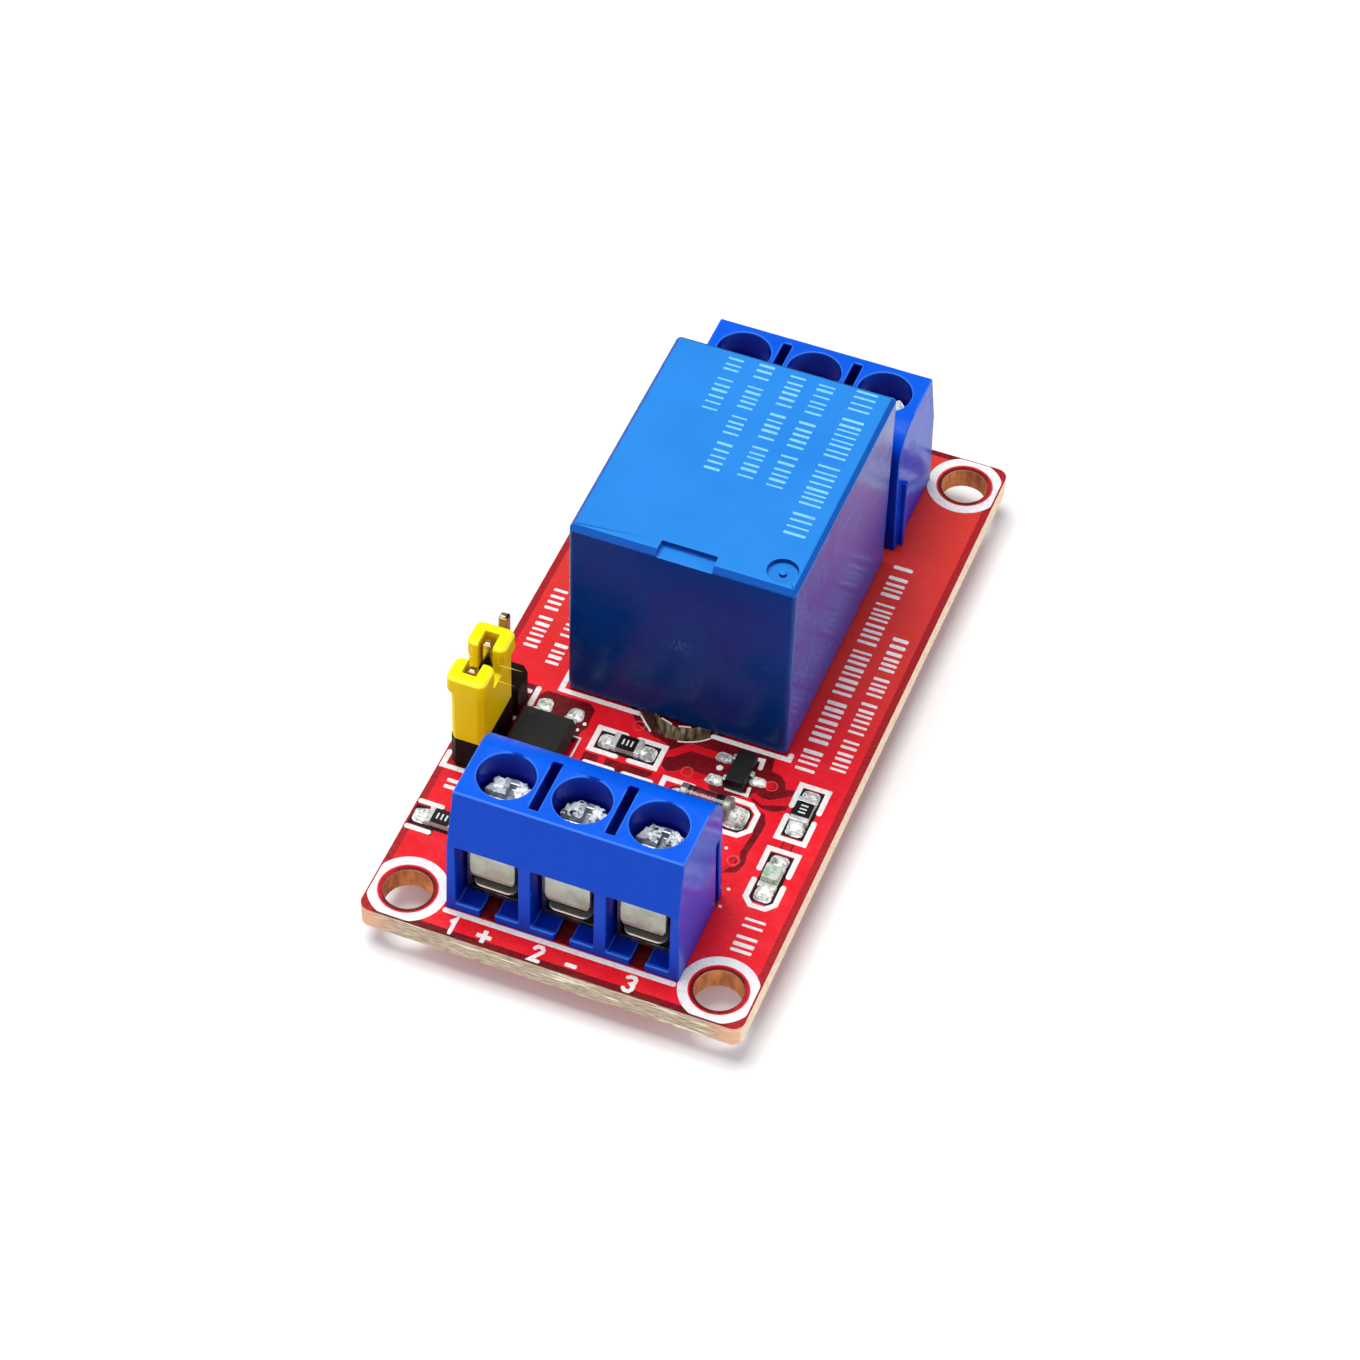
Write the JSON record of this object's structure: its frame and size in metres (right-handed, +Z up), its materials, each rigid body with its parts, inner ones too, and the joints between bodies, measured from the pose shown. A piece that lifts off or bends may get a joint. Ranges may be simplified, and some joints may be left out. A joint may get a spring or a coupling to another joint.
{
  "type": "relay module board",
  "caption": "Single relay module: red circuit board with blue sealed relay, blue screw terminals at both ends, pin header with yellow shorting cap, and small surface-mounted parts.",
  "frame": {"origin": "centre of the bounding box at its lowest level, the cut ends of the leads that the module rests on", "axes": "+Z up, out of the component side; +Y from the input terminal to the relay's contact terminal; +X to the right seen from the input side"},
  "size_m": [0.026, 0.0524, 0.0192],
  "materials": {
    "board_red": "smooth solder mask on a glass-fibre board",
    "solder": "bright solder",
    "terminal_blue": "moulded, semi-gloss",
    "tinned_brass": "tinned",
    "guard_steel": "plated sheet",
    "screw_zinc": "bright zinc",
    "header_black": "moulded",
    "pin_gold": "thin gold plate",
    "cap_yellow": "moulded, semi-gloss",
    "package_black": "moulded",
    "lead_tin": "tinned",
    "chip_ceramic": "dark coat on white ceramic",
    "lens_clear": "clear resin",
    "diode_glass": "clear glass",
    "relay_blue": "polished moulding",
    "relay_dark": "moulded",
    "coil_copper": "lacquered copper wire",
    "iron": "plated iron",
    "contact_alloy": "copper alloy"
  },
  "bodies": {
    "board": {"circuit_board": "board_red", "lead_solder": "solder", "front_terminal_housing": "terminal_blue", "rear_terminal_housing": "terminal_blue", "front_cage_1": "tinned_brass", "front_cage_2": "tinned_brass", "front_cage_3": "tinned_brass", "rear_cage_1": "tinned_brass", "rear_cage_2": "tinned_brass", "rear_cage_3": "tinned_brass", "header_base": "header_black", "header_pins": "pin_gold", "optocoupler_body": "package_black", "optocoupler_leads": "lead_tin", "transistor_body": "package_black", "transistor_leads": "lead_tin", "diode_glass": "diode_glass", "diode_caps": "lead_tin", "coupler_resistor_body": "chip_ceramic", "coupler_resistor_ends": "lead_tin", "side_resistor_body": "chip_ceramic", "side_resistor_ends": "lead_tin", "input_resistor_body": "chip_ceramic", "input_resistor_ends": "lead_tin", "power_led_base": "chip_ceramic", "power_led_lens": "lens_clear", "power_led_ends": "lead_tin", "status_led_base": "chip_ceramic", "status_led_lens": "lens_clear", "status_led_ends": "lead_tin", "pad_solder": "solder", "relay_case": "relay_blue", "relay_base": "relay_dark", "relay_bobbin": "relay_dark", "relay_coil": "coil_copper", "relay_core": "iron", "relay_yoke": "iron", "relay_upper_contact": "contact_alloy", "relay_lower_contact": "contact_alloy", "relay_common_lead": "contact_alloy", "relay_coil_leads": "contact_alloy"},
    "front_clamp_1": {"front_guard_1": "guard_steel"},
    "front_clamp_screw_1": {"front_screw_1": "screw_zinc"},
    "front_clamp_2": {"front_guard_2": "guard_steel"},
    "front_clamp_screw_2": {"front_screw_2": "screw_zinc"},
    "front_clamp_3": {"front_guard_3": "guard_steel"},
    "front_clamp_screw_3": {"front_screw_3": "screw_zinc"},
    "rear_clamp_1": {"rear_guard_1": "guard_steel"},
    "rear_clamp_screw_1": {"rear_screw_1": "screw_zinc"},
    "rear_clamp_2": {"rear_guard_2": "guard_steel"},
    "rear_clamp_screw_2": {"rear_screw_2": "screw_zinc"},
    "rear_clamp_3": {"rear_guard_3": "guard_steel"},
    "rear_clamp_screw_3": {"rear_screw_3": "screw_zinc"},
    "jumper": {"jumper_cap": "cap_yellow", "jumper_clip": "contact_alloy"},
    "armature": {"relay_armature": "iron", "relay_leaf": "contact_alloy", "relay_moving_contact": "contact_alloy"}
  },
  "joints": [
    {"name": "front_guard_slide_1", "type": "slide", "parent": "board", "child": "front_clamp_1", "axis": [0, 0, 1], "range_m": [-0.0008, 0.0015]},
    {"name": "front_screw_turn_1", "type": "hinge", "parent": "front_clamp_1", "child": "front_clamp_screw_1", "pos_m": [-0.00496, -0.02075, 0.0108], "axis": [0, 0, 1], "range_deg": [-576, 1080]},
    {"name": "front_guard_slide_2", "type": "slide", "parent": "board", "child": "front_clamp_2", "axis": [0, 0, 1], "range_m": [-0.0008, 0.0015]},
    {"name": "front_screw_turn_2", "type": "hinge", "parent": "front_clamp_2", "child": "front_clamp_screw_2", "pos_m": [0.00012, -0.02075, 0.0108], "axis": [0, 0, 1], "range_deg": [-576, 1080]},
    {"name": "front_guard_slide_3", "type": "slide", "parent": "board", "child": "front_clamp_3", "axis": [0, 0, 1], "range_m": [-0.0008, 0.0015]},
    {"name": "front_screw_turn_3", "type": "hinge", "parent": "front_clamp_3", "child": "front_clamp_screw_3", "pos_m": [0.0052, -0.02075, 0.0108], "axis": [0, 0, 1], "range_deg": [-576, 1080]},
    {"name": "rear_guard_slide_1", "type": "slide", "parent": "board", "child": "rear_clamp_1", "axis": [0, 0, 1], "range_m": [-0.0008, 0.0015]},
    {"name": "rear_screw_turn_1", "type": "hinge", "parent": "rear_clamp_1", "child": "rear_clamp_screw_1", "pos_m": [0.0053, 0.02015, 0.0108], "axis": [0, 0, 1], "range_deg": [-576, 1080]},
    {"name": "rear_guard_slide_2", "type": "slide", "parent": "board", "child": "rear_clamp_2", "axis": [0, 0, 1], "range_m": [-0.0008, 0.0015]},
    {"name": "rear_screw_turn_2", "type": "hinge", "parent": "rear_clamp_2", "child": "rear_clamp_screw_2", "pos_m": [0.00022, 0.02015, 0.0108], "axis": [0, 0, 1], "range_deg": [-576, 1080]},
    {"name": "rear_guard_slide_3", "type": "slide", "parent": "board", "child": "rear_clamp_3", "axis": [0, 0, 1], "range_m": [-0.0008, 0.0015]},
    {"name": "rear_screw_turn_3", "type": "hinge", "parent": "rear_clamp_3", "child": "rear_clamp_screw_3", "pos_m": [-0.00486, 0.02015, 0.0108], "axis": [0, 0, 1], "range_deg": [-576, 1080]},
    {"name": "jumper_slide", "type": "slide", "parent": "board", "child": "jumper", "axis": [0, 0, 1], "range_m": [0, 0.0062]},
    {"name": "armature_turn", "type": "hinge", "parent": "board", "child": "armature", "pos_m": [0.00002, -0.00182, 0.01475], "axis": [1, 0, 0], "range_deg": [-4.4, 0], "stiffness_Nm_per_rad": 0.01, "springref_deg": 2.86}
  ],
  "couplings": [
    {"joint": "front_screw_turn_1", "follows": "front_guard_slide_1", "rad_per_m": 12566},
    {"joint": "front_screw_turn_2", "follows": "front_guard_slide_2", "rad_per_m": 12566},
    {"joint": "front_screw_turn_3", "follows": "front_guard_slide_3", "rad_per_m": 12566},
    {"joint": "rear_screw_turn_1", "follows": "rear_guard_slide_1", "rad_per_m": 12566},
    {"joint": "rear_screw_turn_2", "follows": "rear_guard_slide_2", "rad_per_m": 12566},
    {"joint": "rear_screw_turn_3", "follows": "rear_guard_slide_3", "rad_per_m": 12566}
  ]
}
